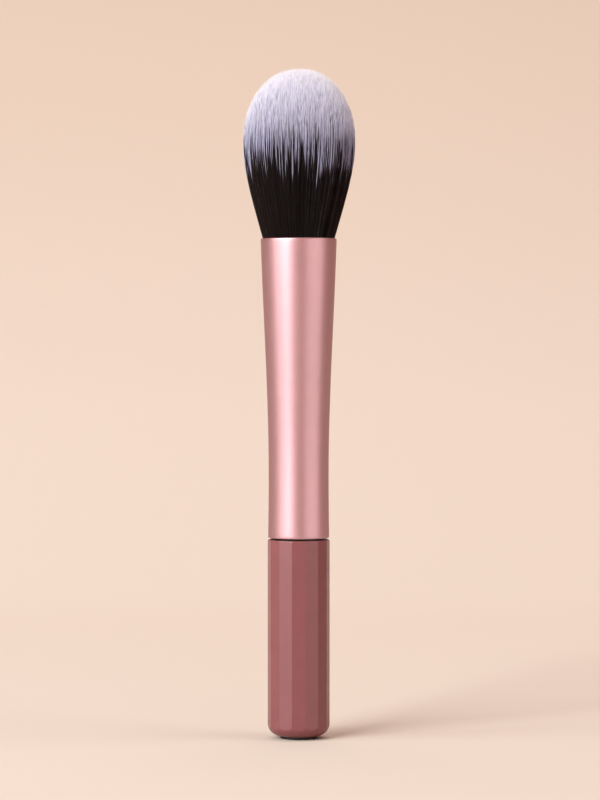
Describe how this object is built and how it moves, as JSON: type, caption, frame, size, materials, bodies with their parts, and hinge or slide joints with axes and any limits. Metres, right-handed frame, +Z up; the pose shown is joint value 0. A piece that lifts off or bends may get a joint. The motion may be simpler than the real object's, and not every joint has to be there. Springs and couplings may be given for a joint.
{
  "type": "blush brush",
  "caption": "Tapered blush brush: domed synthetic tuft in a flared metal ferrule, on a faceted grip with a flat foot pad that it stands on.",
  "frame": {"origin": "middle of the underside of the foot pad, which the brush stands on", "axes": "+Z up along the brush, from the foot pad to the tip of the tuft; a flat side of the grip faces -Y"},
  "size_m": [0.0278, 0.0278, 0.1674],
  "materials": {
    "fibre": "fine tapered fibres, black at the roots and pale grey at the tips",
    "thread": "waxed thread",
    "resin": "cured potting resin",
    "cup_plastic": "moulded",
    "head_glue": "cured adhesive bead",
    "rose_aluminium": "satin, rose anodised",
    "core_plastic": "moulded, black",
    "tenon_glue": "cured adhesive",
    "slug_steel": "turned bar",
    "mauve_plastic": "moulded, soft sheen",
    "pad_rubber": "moulded, matte black"
  },
  "bodies": {
    "root": {"bristle_tuft": "fibre", "root_tie": "thread", "root_potting": "resin", "tuft_cup": "cup_plastic", "head_adhesive": "head_glue", "ferrule": "rose_aluminium", "handle_core": "core_plastic", "tenon_adhesive": "tenon_glue", "weight_slug": "slug_steel", "grip_sleeve": "mauve_plastic", "foot_pad": "pad_rubber"}
  },
  "joints": []
}
